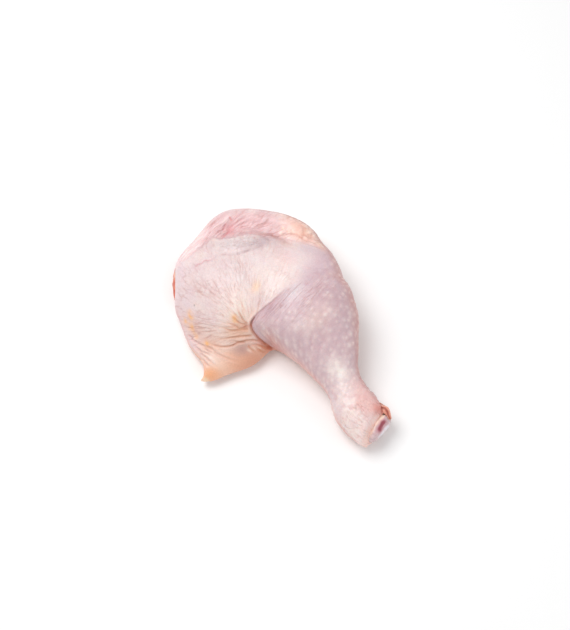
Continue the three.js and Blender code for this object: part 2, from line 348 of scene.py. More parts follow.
def beside(spots, path):
    """How far each spot is from a path, how far along it, 0 to 1, and on which side, 1 on the left."""
    gap = np.full(len(spots), 1e9)
    along = np.zeros(len(spots))
    side = np.ones(len(spots))
    runs = np.linalg.norm(np.diff(path, axis=0), axis=1)
    total = runs.sum()
    start = 0
    for a, b, run in zip(path[:-1], path[1:], runs):
        ahead = np.clip((spots - a) @ (b - a) / run**2, 0, 1)
        off = spots - a - ahead[:, None] * (b - a)
        far = np.hypot(off[:, 0], off[:, 1])
        near = far < gap
        gap[near] = far[near]
        along[near] = (start + ahead[near] * run) / total
        turn = (b - a)[0] * (spots[:, 1] - a[1]) - (b - a)[1] * (spots[:, 0] - a[0])
        side[near] = np.sign(turn[near])
        start += run
    return gap, along, side


def crease(points, width, start, end):
    """A soft line along a path and the lips beside it, faded over a share of the path at start and end."""
    gap, along, _ = beside(spot, curve(points))
    fade = smoothstep(-0.001, start, along) * smoothstep(1.001, 1 - end, along) * front
    return bell(gap, width) * fade, bell(gap - 2.1 * width, 1.1 * width) * fade


def press(paths, width, start, end, depth, lift=0.0):
    """Presses creases into the skin along paths and lifts their lips. It returns the creases."""
    pressed = np.zeros(len(place))
    for path in paths:
        line, lips = crease(path, width, start, end)
        swell[:] += lift * lips - depth * line
        pressed = np.maximum(pressed, line)
    return pressed


def ray(centre, turn, bend, begin, reach):
    """A path that leaves a centre in a direction and bends a little on its way."""
    path = []
    for step in (0, 0.35, 0.7, 1):
        way = turn + bend * step
        far = begin + reach * step
        path.append((centre[0] + far * math.cos(way), centre[1] + far * math.sin(way)))
    return path


def patch(across_at, rise_at, size, stretch=1.0, turn=0.0):
    """A soft round patch on the upper side, stretched along a direction."""
    dx = across - across_at
    dy = rise - rise_at
    a = (dx * math.cos(turn) + dy * math.sin(turn)) / (size * stretch)
    b = (dy * math.cos(turn) - dx * math.sin(turn)) / size
    return np.exp(-(a * a + b * b)) * front


# The deep crease between thigh and drumstick, from the notch in front round the hollow of the knee. Above the
# hollow it is only a thin line, which fades out. A narrow hem stands up beside it.
KNEE = [(-0.4, -9.2), (-3.8, -8.2), (-7.4, -5.9), (-11, -3.2), (-14, -0.3), (-16, 2.2), (-17, 4.6)]
KNEE += [(-17.3, 7), (-16.3, 9.7), (-13.4, 13.5), (-9, 17.4), (-5, 20.8), (-2.3, 23.3), (3.7, 28.4)]
KNEE += [(8.8, 32.2)]
knee_low = press([KNEE[:10]], 0.62, 0.05, 0.25, depth=1.2, lift=0.3)
knee_high = press([KNEE[6:]], 0.5, 0.15, 0.7, depth=0.5)
gap, along, side = beside(spot, curve(KNEE))
hem = bell(gap - 1.5, 0.8) * (side > 0) * front
hem *= smoothstep(0.3, 0.38, along) * smoothstep(0.58, 0.48, along)
hollow = patch(-20, 5.5, 1.6, 1.3, 0.4)
swell += 0.3 * hem - hollow

# Creases that fan out over the thigh from the hollow of the knee: the main ones, and finer ones between them.
KNEE_HOLLOW = (-17, 4.5)
FAN = [
    [(-19.6, 5.4), (-23.8, 4.6), (-26.8, 6.2), (-29.6, 7.2), (-33.1, 8.6)],
    [(-17.7, 3.7), (-22.9, 3.7), (-28.9, 3), (-32.8, 4.4), (-38, 5.2)],
    [(-15.7, 0.1), (-22.5, -0.3), (-28.5, -1), (-32.6, -1.6), (-37.4, -2.1), (-40.7, -1.7)],
    [(-10.9, -3.3), (-15.8, -2.7), (-19.8, -2.9), (-24.6, -3.8), (-27.8, -2.9), (-32.6, -3.1)],
    [(-19.4, -3.6), (-25, -4.2), (-29.1, -6), (-34.3, -6.6), (-39.1, -6), (-42.4, -5), (-44.9, -3.4)],
    [(-18.8, 7), (-21.6, 9.4), (-23.1, 12.2), (-24.7, 15.4), (-26.1, 19.8)],
    [(-20, 7), (-23.8, 7.8), (-25.9, 9.8), (-27.5, 11.8)],
    [(-3.3, -7.9), (-9.8, -6.6), (-15, -5.3), (-19, -6.5)],
    [(-19.2, -5.6), (-17.2, -7.8), (-15, -10.5)],
    [(-14.5, -6.4), (-12, -8.6), (-8.6, -10.2)],
]
chance = np.random.default_rng(7)
finer_fan = []
for turn in np.linspace(1.2, 3.6, 19):
    reach = chance.uniform(8, 18)
    begin = chance.uniform(3, 8)
    bend = chance.uniform(-0.2, 0.2)
    finer_fan.append(ray(KNEE_HOLLOW, turn, bend, begin, reach))
fan = press(FAN, 0.6, 0.1, 0.5, depth=0.6, lift=0.25)
fan = np.maximum(fan, 0.5 * press(finer_fan, 0.5, 0.3, 0.5, depth=0.3, lift=0.1))

# Long slack folds in the flap, towards its tail: soft ridges with a shadow along one side.
FLAP = [
    [(-57.1, 3.6), (-53.4, -2.1), (-47.4, -5.5), (-41.6, -7.6), (-37.6, -10.5), (-31.2, -13.8),
     (-21.6, -16.9)],
    [(-52.6, -5.2), (-48.4, -9), (-43.3, -10.8), (-37.2, -13.1)],
    [(-50, -8.6), (-45.6, -12.6), (-41.6, -16), (-36.7, -19.6)],
    [(-48.2, -6.2), (-43.2, -9), (-38.1, -11.4), (-33, -15.4)],
    [(-47.4, -13.4), (-44.2, -17.3), (-41.6, -19.6)],
]
FLAP_FOLD = {"width": 0.65, "start": 0.25, "end": 0.5}
slack = press(FLAP, **FLAP_FOLD, depth=0.55, lift=0.5)
# The lips of the folds, which are painted pale below as painted highlight.
ridge = np.max([crease(path, **FLAP_FOLD)[1] for path in FLAP], axis=0)

# The back roll meets the thigh along a soft fold, which turns into a sharper crease beside the drumstick,
# with a thin pleat above it.
ROLL = [(-62.2, 44), (-56.6, 47.7), (-51.7, 52.1), (-45.4, 57.5), (-41.1, 60.7), (-35.8, 60), (-27.8, 61.4)]
ROLL += [(-21.3, 63), (-16.9, 62.8), (-11.5, 61.2), (-3.5, 60.2), (3.3, 59.6), (9.5, 58.3), (15.7, 56.5)]
ROLL += [(20.6, 54.9), (25, 53.4), (29.3, 50.6)]
PLEAT = [(-8, 63.4), (2.5, 62.4), (10.3, 61.8), (15.7, 58.6), (21.9, 56.4), (26.9, 53)]
roll_line = press([ROLL[:12]], 0.8, 0.25, 0.3, depth=0.4, lift=0.2)
roll_sharp = press([ROLL[8:]], 0.5, 0.3, 0.15, depth=0.15, lift=0.15)
pleat = press([PLEAT], 0.5, 0.4, 0.2, depth=0.3, lift=0.2)

# Under the roll lies a thin grey bulge of loose skin, with a broken crease below it and short ones above.
BULGE = [(-42, 52.6), (-36, 54.2), (-29.7, 55.4), (-23.2, 56.4), (-16.7, 57.3), (-6, 58.3)]
BULGE_LOW = [(-38.3, 48.9), (-33.9, 49.9), (-29.6, 49.6), (-24.6, 50.2), (-19.7, 51.8), (-14.7, 53.3)]
BULGE_LOW += [(-9.7, 55.5), (-5, 57)]
BULGE_TOP = [
    [(-27.5, 61.6), (-25.2, 62.7), (-21.5, 63.9), (-17.2, 64.2), (-12.2, 65.4)],
    [(-14.5, 63.4), (-10.5, 61.6), (-7.5, 60.4), (-4, 59.8)],
    [(-13, 61), (-9.5, 59.8), (-6, 58.8), (-2.5, 58.6)],
]
bulge = press([BULGE], 3.6, 0.3, 0.35, depth=-1.2)
bulge_low, lips = crease(BULGE_LOW, 0.6, 0.2, 0.3)
bulge_low *= np.clip(0.85 + 0.5 * clouds(x, y, z, size=3.2, start=14), 0.4, 1.1)
swell -= 0.7 * bulge_low - 0.1 * lips
bulge_top = press(BULGE_TOP, 0.5, 0.3, 0.5, depth=0.35, lift=0.15)

# A red crevice runs up into the roll, with a slit and a small tick above it. Wrinkles fan out over the roll
# from beside the crevice, and bend over to the right. A crinkle lies at the thigh's upper left.
CREVICE = [(-36.4, 59.6), (-33.3, 62.4), (-31.6, 64.3), (-30.2, 66.4)]
SLIT = [(-35, 64.6), (-34.7, 66.2), (-33.8, 67.8), (-33.1, 69.6)]
TICK = [(-31.2, 73.8), (-30.6, 72.6), (-29.8, 71.6), (-29.2, 70.8)]
CRINKLE = [(-52.5, 41), (-50, 43.4), (-47.6, 44.2), (-45.6, 46), (-43, 46), (-39.8, 47.6)]
BESIDE_CREVICE = (-33, 61.5)
ROLL_BEND = -0.3
crevice = press([CREVICE], 0.7, 0.2, 0.4, depth=0.5, lift=0.3)
slit = press([SLIT], 0.6, 0.2, 0.3, depth=0.25, lift=0.2)
tick = press([TICK], 0.5, 0.2, 0.3, depth=0.2, lift=0.15)
crinkle = press([CRINKLE], 0.5, 0.2, 0.3, depth=0.25, lift=0.2)
roll_rays = []
for turn in np.linspace(0.1, 1.15, 13):
    reach = chance.uniform(9, 21)
    begin = chance.uniform(4, 9)
    roll_rays.append(ray(BESIDE_CREVICE, turn, ROLL_BEND, begin, reach))
fan_roll = press(roll_rays, 0.5, 0.3, 0.5, depth=0.28, lift=0.12)

# The drumstick's axis, and each point's place along and around it. Further down its sides, places around it
# count the way down as well, from the height of its back.
AXIS = curve([(20.3, 27), (21.3, 13), (25.3, -4), (30.6, -19), (39.2, -39), (48.3, -56), (59.3, -66.5)])
BACK_ALONG = [0, 0.15, 0.33, 0.49, 0.72, 0.9, 1]
BACK_HEIGHT = [46, 48, 46, 38, 28, 26, 25.5]
gap, along, side = beside(place[:, :2], AXIS)
before = np.maximum((place[:, :2] - AXIS[0]) @ np.array([-0.08, 1]), 0)
gap = np.where(before > 0, np.abs(x - AXIS[0][0]), gap)
down = along * np.linalg.norm(np.diff(AXIS, axis=0), axis=1).sum() - before
back = np.interp(along, BACK_ALONG, BACK_HEIGHT)
drop = np.maximum(back - z, 0)
sunk = 0.4 * drop + 0.5 * np.maximum(drop - 0.5 * back, 0)
around = 0.85 * side * (gap + sunk * smoothstep(0, 9, gap))

# The parts of the skin: drumstick, back roll, ankle and flap. What is left is the thigh.
BORDER = curve(KNEE + [(12.5, 38), (17, 46), (22, 54), (27, 63)])
FLAP_TOP = [(-62, 3), (-53, -5), (-44, -4.5), (-34, -7), (-25, -5), (-12, -4), (0, -8)]
gap, _, side = beside(spot, np.vstack([[(0, -95), (0, -13)], BORDER]))
blur = np.interp(rise, [10, 20, 27, 36, 45], [0.5, 0.8, 1.8, 7, 12])
drum = smoothstep(-1, 1, -side * gap / blur)
edge_gap = np.where(side < 0, gap, FAR_OFF)
gap, _, side = beside(spot, curve([(-68, 36)] + ROLL + [(36, 44)]))
blur = np.interp(across, [-12, 4], [1.2, 2.4])
band = smoothstep(-1, 1, side * gap / blur) * (1 - drum * smoothstep(26, 30, across))
band = band * front + smoothstep(40, 50, y) * (1 - front)
ankle = smoothstep(76, 92, down) * drum
gap, _, side = beside(spot, curve(FLAP_TOP))
flap = smoothstep(-2, 5, -side * gap) * (1 - drum)
thigh = np.clip(1 - drum - band - flap, 0, 1)


def cracks(a, b, c, size, width):
    """Soft lines along the borders of uneven cells of about a size."""
    spots = np.column_stack([a, b, np.broadcast_to(c, np.shape(a))]) / size
    near = np.array([noise.voronoi(Vector(spot))[0][:2] for spot in spots])
    return bell(near[:, 1] - near[:, 0], width)


def fan_from(centre):
    """Each point's direction and distance from a spot from which lines fan out, none of them to the right."""
    across_at, rise_at = centre
    return np.arctan2(rise_at - rise, across_at - across), np.hypot(rise - rise_at, across - across_at)


# Fine wrinkles of the thigh: lines that fan out from the hollow of the knee, more of them further off, arcs
# round it beside the drumstick, long cells all over and crackled skin on the left. They are fainter where the
# skin is tight. The grey bulge is crumpled.
warp = clouds(x, y, z, size=11, start=5)
uneven = np.clip(0.75 + 0.5 * clouds(x, y, z, size=13, start=91), 0.25, 1.2)
tight = smoothstep(-22, 4, across) * smoothstep(18, 32, rise)
calm = 1 - 0.4 * patch(-14, 24, 12)
to_left = smoothstep(-24, -42, across) * smoothstep(4, 14, rise)
fan_turn, fan_far = fan_from(KNEE_HOLLOW)
spokes = bell(clouds(fan_turn * 5 + warp * 0.3, fan_far / 14, 0, size=1, start=20), 0.5)
spokes *= smoothstep(20, 10, fan_far)
for count, start, end in ((9, 8, 36), (17, 22, 80)):
    fade = smoothstep(start, start + 8, fan_far) * smoothstep(end, end - 10, fan_far)
    finer = bell(clouds(fan_turn * count + warp * 0.5, fan_far / 12, 0, size=1, start=20 + count), 0.5)
    spokes = np.maximum(spokes, finer * fade)
spokes *= 1 - 0.55 * to_left
crackle = cracks(x + warp * 1.5, y * 0.8 + warp, z, size=3.2, width=0.22)
crackle *= to_left * smoothstep(50, 38, rise) * (1 - 0.6 * smoothstep(-47, -56, across))
arcs = bell(clouds(fan_far / 2.5 + warp * 0.6, fan_turn * 3, 0, size=1, start=60), 0.45)
arcs *= smoothstep(-14, 0, across)
net = cracks(fan_turn * 20 + warp * 1.2, fan_far * 0.55, 0, size=3, width=0.24)
wrinkles = np.clip(spokes * 0.75 + arcs * 0.45 + net * 0.4 + crackle * 0.75, 0, 1.2) * thigh * uneven * calm
wrinkles *= (1 - 0.55 * tight) * (1 - 0.5 * smoothstep(-50, -60, across))
crumple = bell(clouds(across * 0.4 + rise * 0.3, rise - across * 0.2 + warp, 0, size=1.7, start=77), 0.5)
crumple *= np.clip(bulge * 1.4, 0, 1) * uneven
swell -= wrinkles * 0.3 + crumple * 0.4

# The back roll's wrinkles run to the right along it. At its right end are lobes and grains of fat and a seam.
ROLL_START = (-75, 30)
GRAINS = [(17.1, 62.7, 1.8), (7.9, 64.3, 1), (5.2, 64.5, 0.9), (2.1, 66.4, 1), (1, 63.3, 0.8)]
GRAINS += [(12.2, 61.8, 0.9), (24.6, 55.9, 1), (20.8, 61, 0.9)]
SEAM = [(11.8, 69.3), (14.3, 66.6), (15, 62.7), (18.6, 59.8), (19.8, 63.1), (19, 67)]
roll_turn, roll_far = fan_from(ROLL_START)
streaks = clouds(roll_turn * 14 + warp * 0.4, roll_far / 14, z * 0.05, size=1, start=30)
fat = smoothstep(-6, 14, across) * band
hairlines = bell(clouds(roll_turn * 26 + warp * 0.5, roll_far / 9, z * 0.05, size=1, start=33), 0.5)
hairlines *= band * uneven * (1 - 0.7 * fat) * (1 - 0.7 * patch(-2, 61, 7, 1.3)) * (0.4 + 0.6 * front)
lobes = cracks(x + warp, y - warp, z, size=5.5, width=0.16) * fat
lobes *= smoothstep(-0.3, 0.5, clouds(x, y, z, size=9, start=35))
grains = np.max([patch(*where, size, 1.4, -1.2) for *where, size in GRAINS], axis=0)
seam = press([SEAM], 0.45, 0.2, 0.3, depth=0.3)
swell += band * streaks * 0.14 - hairlines * 0.2 - lobes * 0.26 + grains * 0.3


def beads(u, v, shift, seed, period=64):
    """Soft bumps in staggered rows one apart, each of its own size and height and a little out of place."""
    draw = np.random.default_rng(seed)
    shifts = draw.uniform(-shift, shift, (period, period, 2))
    sizes = draw.uniform(0.26, 0.46, (period, period))
    heights = draw.uniform(0.25, 1, (period, period))
    bump = np.zeros(len(u))
    for row_step in (-1, 0, 1):
        row = np.floor(v).astype(int) + row_step
        lead = u - 0.5 * (row % 2)
        for column_step in (-1, 0, 1):
            column = np.floor(lead).astype(int) + column_step
            own = (column % period, row % period)
            du = (lead - column - 0.5 - shifts[own][:, 0]) / sizes[own]
            dv = (v - row - 0.5 - shifts[own][:, 1]) / sizes[own]
            bump = np.maximum(bump, heights[own] * np.exp(-du * du - dv * dv))
    return bump


# Feather follicles: rows of soft bumps that slant round the drumstick, with faint folds along the rows. The
# gap between bumps shrinks on the way down to the ankle, and would close far beyond it.
FOLLICLE_GAP = 4.5
ROW_GAP = 0.87
CLOSING = 270
LEAN = -0.75
rows_down = -CLOSING / FOLLICLE_GAP * np.log(1 - down / CLOSING)
rows_round = around / (FOLLICLE_GAP * (1 - down / CLOSING))
row_way = rows_down * math.cos(LEAN) + rows_round * math.sin(LEAN)
cross_way = (rows_round * math.cos(LEAN) - rows_down * math.sin(LEAN)) / ROW_GAP
bare = drum * smoothstep(98, 78, down) * smoothstep(-26, -6, down)
near_crease = smoothstep(17, 4, edge_gap) * smoothstep(7, 13, rise)
follicle = beads(row_way + warp * 0.15, cross_way, shift=0.3, seed=4) * bare
follicle *= smoothstep(0.5, 5, edge_gap) * (1 - 0.85 * near_crease) * smoothstep(0.05, 0.4, z / back)
folds = clouds(cross_way * 1.1, row_way * 0.3, 0, size=1, start=44) * bare * smoothstep(4, 16, edge_gap)
swell += follicle * 0.48 + folds * 0.06

# Fine stretch lines along the drumstick's upper edge, rings and seams of wrinkles at the ankle, and slow
# unevenness all over.
beyond = across * 0.72 - rise * 0.69
stretch = drum * near_crease * smoothstep(38, 28, rise)
stretch_lines = np.sin(beyond * 3.3 + clouds(x, y, z, size=7, start=21) * 2)
rings = bell(clouds(down, around * 0.4, 0, size=2.4, start=50), 0.6) * ankle
seams = bell(clouds(around, down * 0.3, 0, size=2.2, start=52), 0.6) * ankle
swell += stretch * stretch_lines * 0.05 - (rings * 0.24 + seams * 0.26) * uneven
swell += clouds(x, y, z, size=16, start=11) * 0.25
move(skin, place + normal * swell[:, None])

# Hair-thin lines lie between the folds. They are the borders of long cells, told by each point's place across
# and along them, and in each part of the skin they run another way.
PART_STEP = 9.5
grey = np.clip(bulge * 1.5, 0, 1)
wave = clouds(x, y, z, size=6, start=6)
on_thigh = smoothstep(9, 17, fan_far) * (0.5 + 0.5 * smoothstep(48, 20, rise)) * (1 - 0.4 * tight)
on_thigh *= calm * (1 + 0.4 * smoothstep(-36, -46, across) - 0.5 * smoothstep(-50, -60, across))
on_band = 1.6 * (1 - 0.6 * fat) * (0.5 + 0.5 * smoothstep(-50, -36, across)) * (0.25 + 0.75 * front)
on_flap = 0.8 * smoothstep(-26, -40, across) * smoothstep(-21, -12, rise)
on_drum = smoothstep(28, 6, edge_gap) * smoothstep(2, 8, rise) * smoothstep(40, 30, rise)
flap_over = across * 0.64 + rise * 0.77
flap_onward = across * 0.77 - rise * 0.64
LINES = (
    (thigh * (1 - grey), on_thigh * uneven, fan_turn * 18 + wave * 0.2, fan_far / 9),
    (band * (1 - grey), on_band * uneven, roll_turn * 34 + wave * 0.3, roll_far / 11),
    (flap, on_flap * uneven, flap_over / 1.7 + wave * 0.5, flap_onward / 7),
    (drum * (1 - ankle), 0.2 + 0.9 * on_drum, beyond / 1.05 + wave * 0.3, (across + rise) / 18),
    (ankle, 1.2 * uneven, around / 1.5 + wave * 0.4, down / 5),
    (grey, 1.2 * uneven, (rise - across * 0.3) / 1.4 + wave * 0.6, (across + rise * 0.5) / 3.5),
)
weave = np.zeros((len(place), 3))
fineness = np.zeros(len(place))
for number, (part, strength, over, onward) in enumerate(LINES):
    own = part > 0.5
    weave[own] = np.c_[over, onward, np.full(len(place), number * PART_STEP)][own]
    fineness[own] = (strength * smoothstep(0.5, 0.8, part))[own]
skin.data.attributes.new("weave", "FLOAT_VECTOR", "POINT").data.foreach_set("vector", weave.ravel())
skin.data.attributes.new("fineness", "FLOAT", "POINT").data.foreach_set("value", fineness)

# Colours of the thigh, which is pale with pink wrinkles. The wrinkles and the crackled skin are painted
# darker, painted shade in their grooves.
mottle = clouds(x, y, z, size=8, start=31)
fine = clouds(x, y, z, size=3.5, start=32)
tone = layered(one_colour(len(place), (234, 216, 215)), [
    (smoothstep(0.1, 1.0, mottle) * 0.6, (231, 208, 212)),
    (smoothstep(0.1, 1.0, -mottle) * 0.5, (244, 226, 218)),
    (tight * smoothstep(52, 40, rise) * 0.6, (244, 228, 222)),
    # Painted shade: a darker patch on the middle of the thigh, where the key lamp falls brightest.
    (patch(-34, 27, 13, 1.4, 0.6) * 0.7, (224, 202, 200)),
    (patch(3, 47, 5, 1.3) * 0.4, (244, 208, 204)),
    (patch(-26, 40, 14, 1.2) * 0.25, (220, 216, 217)),
    (patch(-41, 40, 11, 1.5, 0.5) * 0.5, (214, 192, 193)),
    (smoothstep(-48, -62, across) * 0.5, (230, 206, 213)),
    (patch(-52, 3.5, 6, 1.8, -0.9) * 0.75, (226, 180, 164)),
    # Painted shade: the wrinkles and the crackle are painted darker pink along their grooves.
    (wrinkles * 0.4, (210, 172, 168)),
    (crackle * uneven * 0.15, (204, 168, 174)),
])

# Colours of the drumstick: lilac with pale follicles. Where it slants away the follicles are painted paler
# and the skin between them darker, painted highlight and painted shade of their relief.
to_ankle = smoothstep(64, 88, down)
slant = smoothstep(0.9, 0.5, toward)
# Painted highlight: the pale follicle colour covers more where the skin slants away.
follicle_tone = follicle * (0.62 + 0.2 * slant) * np.clip(0.9 + 0.35 * mottle, 0.45, 1.2)
lilac = layered(one_colour(len(place), (206, 177, 183)), [
    (smoothstep(0, 1, mottle) * 0.5, (214, 184, 186)),
    (smoothstep(24, 46, rise), (213, 186, 194)),
    (patch(-7, 12.4, 6, 1.4, 0.8) * 0.5, (196, 164, 174)),
    # Painted light: the knee tip of the drumstick, which turns down and left away from the lamps, is painted
    # lighter.
    (patch(-9, 5.5, 6, 1.3, -0.6) * 0.55, (228, 202, 200)),
    (patch(8.8, 26.8, 4.5, 1.8, 0.8) * 0.8, (222, 208, 212)),
    (smoothstep(0.1, 0.9, folds) * 0.25, (226, 202, 206)),
    (smoothstep(0.1, 0.9, -folds) * 0.3, (192, 158, 168)),
    (stretch * smoothstep(0.2, 1, stretch_lines) * 0.2, (226, 208, 214)),
    (to_ankle, (243, 229, 225)),
    (to_ankle * smoothstep(0.1, 1.0, fine) * 0.6, (236, 198, 194)),
    (to_ankle * smoothstep(0.2, 1.0, -mottle) * 0.5, (226, 206, 214)),
    (bare * smoothstep(0.1, 0.9, fine) * 0.35, (204, 164, 170)),
    (patch(31, 22, 8) * 0.4, (192, 160, 166)),
    (patch(21.9, 10.4, 6, 1.5, 0.8) * 0.5, (222, 192, 182)),
    (patch(12.6, 7, 5, 1.6, 0.3) * 0.5, (224, 206, 206)),
    # Painted shade: darker skin between the follicles where the skin slants away.
    (bare * slant * (1 - follicle) * 0.2, (196, 156, 162)),
    (follicle_tone, (238, 219, 215)),
])
tone = tone * (1 - drum[:, None]) + lilac * drum[:, None]

# Colours of the ankle: a pale patch above it, pink flushes and pink wrinkles, painted darker along their
# grooves as painted shade.
tone = layered(tone, [
    (patch(35.5, -21, 6, 1.5, -1.0) * (0.75 + 0.3 * fine), (249, 239, 233)),
    (patch(51.6, -46.8, 4, 1.3, -0.8) * 0.5, (212, 174, 176)),
    (patch(47.8, -40.6, 3) * 0.5, (222, 156, 152)),
    (patch(52, -36, 6, 1.8, -0.9) * 0.7, (238, 184, 178)),
    # Painted shade: the ankle's rings and seams are painted darker pink.
    (np.clip(rings + seams, 0, 1) * uneven * 0.3, (222, 178, 172)),
    (patch(49, -70, 7, 1.5, -0.8) * 0.6, (255, 226, 210)),
    (patch(43.6, -56, 5, 1.5, -0.9) * 0.45, (248, 234, 226)),
])

# Colours of the back roll, pink with a red crevice and peach fat at its right end, and of the grey bulge. The
# grooves between the fat lobes, the seam, the fine lines, the roll's fold, crease, pleat and wrinkles, the
# bulge's crumples and the creases below and above it are painted darker, painted shade.
tone = layered(tone, [
    (band, (228, 196, 197)),
    (band * smoothstep(-34, -50, across) * 0.9, (250, 228, 228)),
    (band * smoothstep(0.1, 0.8, streaks) * 0.6, (248, 226, 223)),
    (band * smoothstep(0.2, 0.9, -streaks) * 0.4, (232, 188, 191)),
    (fat * 0.8, (246, 210, 196)),
    (fat * smoothstep(0.2, 0.8, mottle + fine) * 0.4, (250, 222, 206)),
    (patch(10, 66.4, 4, 1.5, -0.5) * 0.7 * fat, (234, 182, 164)),
    (grains * 0.8, (252, 228, 212)),
    # Painted shade: darker grooves between the fat lobes and along the seam, and darker fine lines.
    (np.maximum(lobes * 0.5, seam * 0.6), (214, 148, 126)),
    (hairlines * 0.35, (214, 158, 160)),
    (patch(-30.6, 65.6, 2.5, 1.4, 0.9) * 0.75, (222, 150, 154)),
    (tick * 0.8, (218, 120, 120)),
    (np.maximum(crevice, slit) * 0.5, (206, 116, 120)),
    # Painted shade: the roll's fold, its crease and the pleat are painted darker.
    (roll_line * 0.45 * smoothstep(-4, -14, across), (200, 160, 164)),
    (roll_sharp * 0.2, (190, 142, 138)),
    (pleat * 0.35, (214, 160, 150)),
    (crinkle * 0.6, (214, 150, 156)),
    (bulge * 0.8 * (1 - 0.6 * band), (216, 201, 201)),
    # Painted shade: the bulge's crumples, the creases below and above it and the roll's wrinkles are painted
    # darker.
    (crumple * 0.5, (202, 176, 178)),
    (patch(-10, 57.2, 3.4, 2.1, 0.25) * 0.75 * (1 - 0.7 * band), (202, 178, 184)),
    (patch(18, 53.6, 4, 2.2, -0.4) * 0.7 * (1 - band), (204, 180, 187)),
    (bulge_low * 0.6, (186, 154, 156)),
    (bulge_top * 0.45, (190, 148, 154)),
    (fan_roll * 0.3, (218, 160, 162)),
])

# Colours of the flap: peach, more orange at its lower edge and its tail, with a paler tip. Its rim, where it
# turns away, is painted darker orange as painted shade; the lips of its folds are painted pale as painted
# highlight and the folds darker as painted shade.
tone = layered(tone, [
    (flap, (238, 195, 176)),
    (flap * smoothstep(-6, -13, rise) * 0.8, (238, 180, 148)),
    (flap * smoothstep(-34, -16, across) * 0.8, (216, 154, 126)),
    # Painted shade: darker orange where the flap turns away at its rim.
    (flap * smoothstep(0.6, 0.1, toward) * 0.9, (238, 156, 110)),
    (patch(-41.3, -14, 5.2, 2.1, -0.8) * 0.8, (248, 227, 215)),
    (patch(-11, -10.8, 3.5) * 0.5, (228, 180, 156)),
    (patch(-53, -5.5, 3, 2.6, -0.95) * 0.7, (232, 202, 208)),
    # Painted highlight on the lips of the folds, and painted shade in the folds.
    (ridge * 0.5, (245, 222, 216)),
    (slack * 0.45, (204, 158, 150)),
    (patch(-42, -24, 5, 1.4, 0.4) * 0.75, (246, 178, 130)),
    (smoothstep(0.25, 0.8, tail_tip) * 0.65, (255, 230, 200)),
])

# Colours round the hollow of the knee, yellow spots of fat, painted highlights on folds, creases and one dark
# speck. The creases and the hollow are painted darker, orange, brown and violet, as painted shade.
YELLOW = [(-54.8, 13.6, 1.7), (-53.6, 11.8, 1.3), (-58, 9.1, 1.2), (-53.9, 5.6, 1.7), (-52.4, 2.6, 1.2)]
YELLOW += [(-50.9, -0.6, 1.2), (-44, -4.4, 1.2), (-27.4, 11, 1.5), (-26.2, 8.8, 1.3)]
# Painted highlights: small pale streaks along folds of the flap.
PAINTED_HIGHLIGHTS = [(-18.1, -9, -0.5), (-15.8, -7.4, -0.4), (-12.6, -7.2, -0.4), (-8.4, -6, -0.45)]
yellow_spots = [patch(*where, size, 1.5, 1.9) * (0.6 + 0.4 * fine) for *where, size in YELLOW]
painted_highlights = [patch(*where, 0.8, 2.4, turn) * (0.65 + 0.3 * fine) for *where, turn in PAINTED_HIGHLIGHTS]
tone = layered(tone, [
    (patch(-25, 14, 10, 1.3, 1.1) * (1 - drum) * 0.8, (255, 238, 228)),
    (patch(-30, -1, 8, 1.6) * (1 - drum) * 0.6, (250, 222, 206)),
    (patch(-22, 3.5, 8.5, 1.3) * (1 - drum) * 0.6, (230, 176, 142)),
    (patch(-41, -5, 4.5, 1.6) * 0.5, (226, 164, 132)),
    (patch(-14, 30, 2.6, 1.5, 1.3) * 0.6, (254, 216, 178)),
    (patch(-22.6, -8.2, 3.8, 1.6, 0.2) * 0.85, (192, 150, 142)),
    *[(mask, (244, 184, 122)) for mask in yellow_spots],
    # Painted shade: the fanned creases are painted darker orange.
    (fan * 0.65, (212, 140, 102)),
    (hem * 0.4, (244, 214, 206)),
    *[(mask, (252, 230, 214)) for mask in painted_highlights],
    # Painted shade: the low end of the knee crease and its hollow are painted dark orange-brown, and the thin
    # line above them violet.
    (patch(-7, -6, 3.4, 1.6, -0.6) * (1 - drum) * 0.9, (202, 116, 80)),
    (patch(-5.4, -5.4, 2.6, 2, -0.65) * 0.55, (190, 122, 98)),
    (knee_low * 0.85 + hollow * 0.6, (202, 122, 94)),
    (knee_high * 0.75, (164, 116, 122)),
    (patch(-51.6, 18.6, 0.4) * 0.9, (120, 96, 100)),
])

# Colours of the rims, where the skin turns away: painted shade, redder on the right and at the roll's right
# edge, pinker at the front, with the pale follicles painted over it again. Skin that faces down is peach.
in_view = smoothstep(-0.5, 0, toward)
to_right = smoothstep(-0.1, 0.4, normal[:, 0])
edge_on = smoothstep(0.5, 0.1, toward)
side_rim = smoothstep(0.72, 0.22, toward) * (1 - flap) * (1 - cut_side) * (0.4 + 0.6 * in_view)
low_rim = edge_on * smoothstep(0.1, 0.6, -normal[:, 1]) * (1 - flap) * (1 - to_right)
tone = layered(tone, [
    # Painted shade: redder rims on the right side, on the roll's right edge and at the front.
    (side_rim * to_right * (1 - band) * 0.85, (194, 134, 130)),
    (edge_on * to_right * band * (0.1 + 0.75 * in_view), (182, 116, 104)),
    (low_rim * 0.85, (226, 160, 152)),
    (smoothstep(0.6, 0.2, toward) * follicle * 0.8, (240, 210, 204)),
    (smoothstep(0.1, -0.5, normal[:, 2]) * 0.6, (238, 196, 182)),
])

